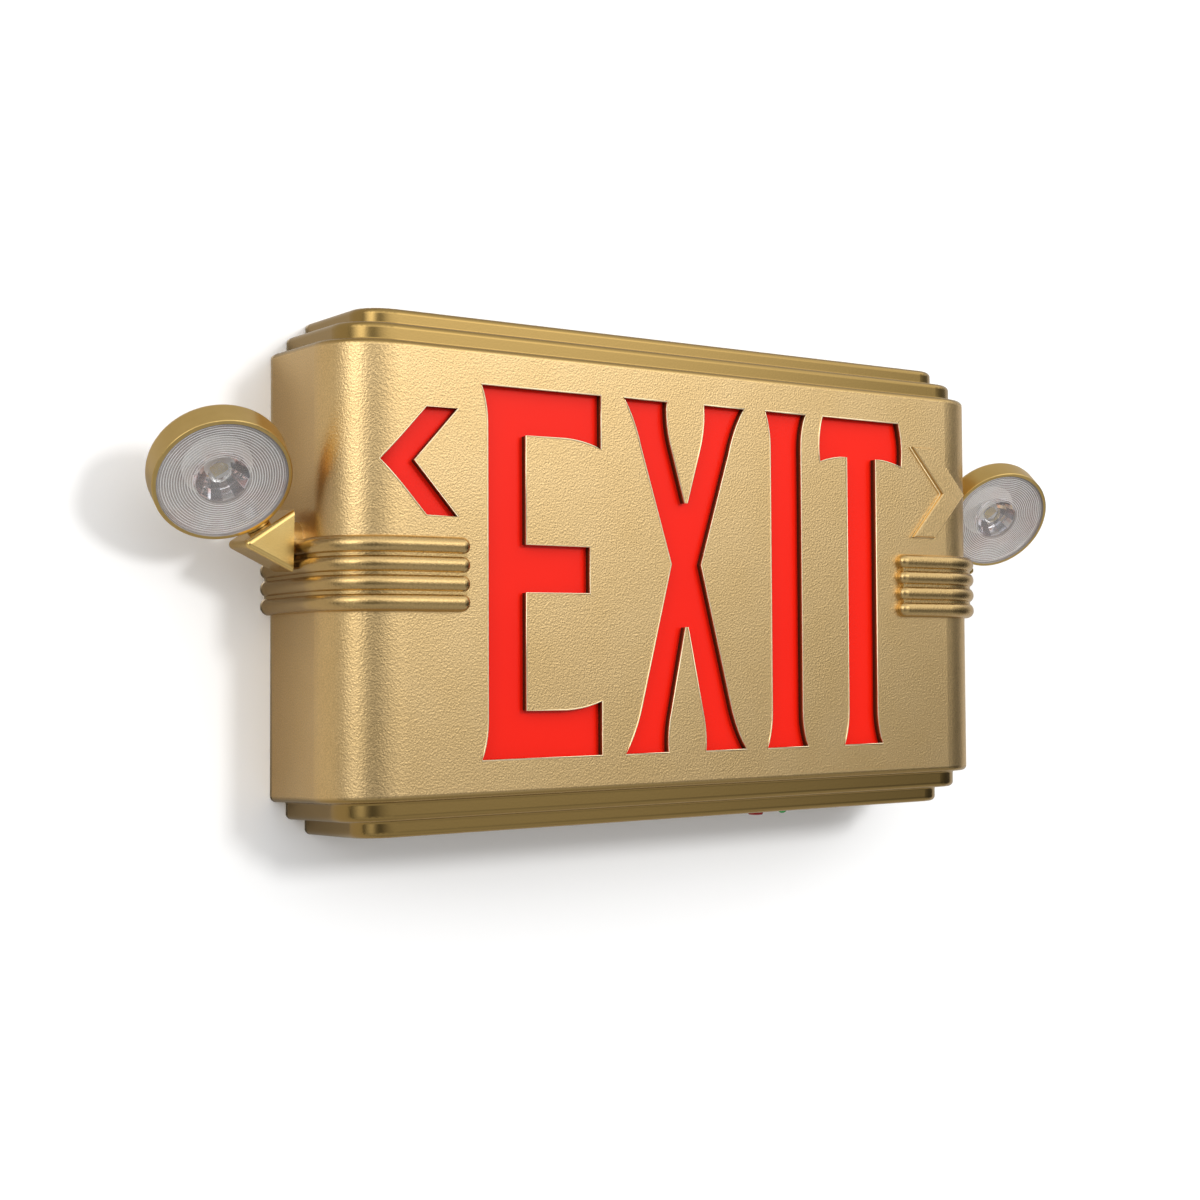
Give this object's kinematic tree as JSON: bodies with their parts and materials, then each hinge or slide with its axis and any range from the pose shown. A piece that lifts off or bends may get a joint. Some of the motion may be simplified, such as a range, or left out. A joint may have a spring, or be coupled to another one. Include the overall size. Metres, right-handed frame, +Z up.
{
  "type": "emergency exit light",
  "caption": "Wall-mounted emergency exit light with a stepped, ribbed cast cover, cut-out letters over a lit red panel and two swivelling lamp heads.",
  "frame": {"origin": "on the wall, midway between the two holes that fasten the back plate to a wiring box", "axes": "+X to the right of someone facing the sign, +Y into the wall, +Z up"},
  "size_m": [0.4677, 0.0826, 0.2213],
  "materials": {
    "gold_casting": "cast, satin gold finish with a fine pebble",
    "gold_shell": "spun, smooth satin gold finish",
    "red_acrylic": "translucent, lit from behind",
    "white_steel": "white enamel",
    "zinc_steel": "zinc plated",
    "board_green": "solder mask",
    "board_white": "white solder mask",
    "transformer_iron": "laminated core",
    "terminal_plastic": "moulded",
    "battery_sleeve": "shrunk sleeve",
    "button_red": "moulded",
    "switch_black": "moulded",
    "pilot_green": "translucent",
    "reflector_chrome": "metallised plastic",
    "clear_plastic": "clear"
  },
  "bodies": {
    "housing": {"cover": "gold_casting", "chevron_insert": "gold_casting", "red_panel": "red_acrylic", "light_tray": "white_steel", "back_plate": "zinc_steel", "battery_strap": "zinc_steel", "cover_screws": "zinc_steel", "charger_board": "board_green", "control_board": "board_green", "upper_led_strip": "board_white", "lower_led_strip": "board_white", "transformer": "transformer_iron", "terminal_block": "terminal_plastic", "battery_pack": "battery_sleeve", "test_switch": "switch_black", "pilot_light": "pilot_green", "left_swivel_washer": "zinc_steel", "right_swivel_washer": "zinc_steel"},
    "left_arm": {"left_bracket": "gold_casting", "left_swivel_nut": "zinc_steel"},
    "left_head": {"left_head_shell": "gold_shell", "left_pivot": "zinc_steel", "left_led_board": "board_white", "left_reflector": "reflector_chrome", "left_collimator": "clear_plastic", "left_lens": "clear_plastic"},
    "right_arm": {"right_bracket": "gold_casting", "right_swivel_nut": "zinc_steel"},
    "right_head": {"right_head_shell": "gold_shell", "right_pivot": "zinc_steel", "right_led_board": "board_white", "right_reflector": "reflector_chrome", "right_collimator": "clear_plastic", "right_lens": "clear_plastic"},
    "button": {"test_button": "button_red"}
  },
  "joints": [
    {"name": "left_swivel", "type": "hinge", "parent": "housing", "child": "left_arm", "pos_m": [-0.171, -0.032, 0.0131], "axis": [1, 0, 0], "range_deg": [-45, 60]},
    {"name": "left_turn", "type": "hinge", "parent": "left_arm", "child": "left_head", "pos_m": [-0.18765, -0.03227, 0.01829], "axis": [-0.5706, -0.043, 0.8201], "range_deg": [-45, 25]},
    {"name": "right_swivel", "type": "hinge", "parent": "housing", "child": "right_arm", "pos_m": [0.171, -0.032, 0.0131], "axis": [1, 0, 0], "range_deg": [-55, 50]},
    {"name": "right_turn", "type": "hinge", "parent": "right_arm", "child": "right_head", "pos_m": [0.18765, -0.0329, 0.01822], "axis": [0.5706, -0.1426, 0.8087], "range_deg": [-5, 65]},
    {"name": "test_press", "type": "slide", "parent": "housing", "child": "button", "axis": [0, 0, 1], "range_m": [0, 0.0015], "stiffness_N_per_m": 800, "springref_m": -0.0005}
  ]
}
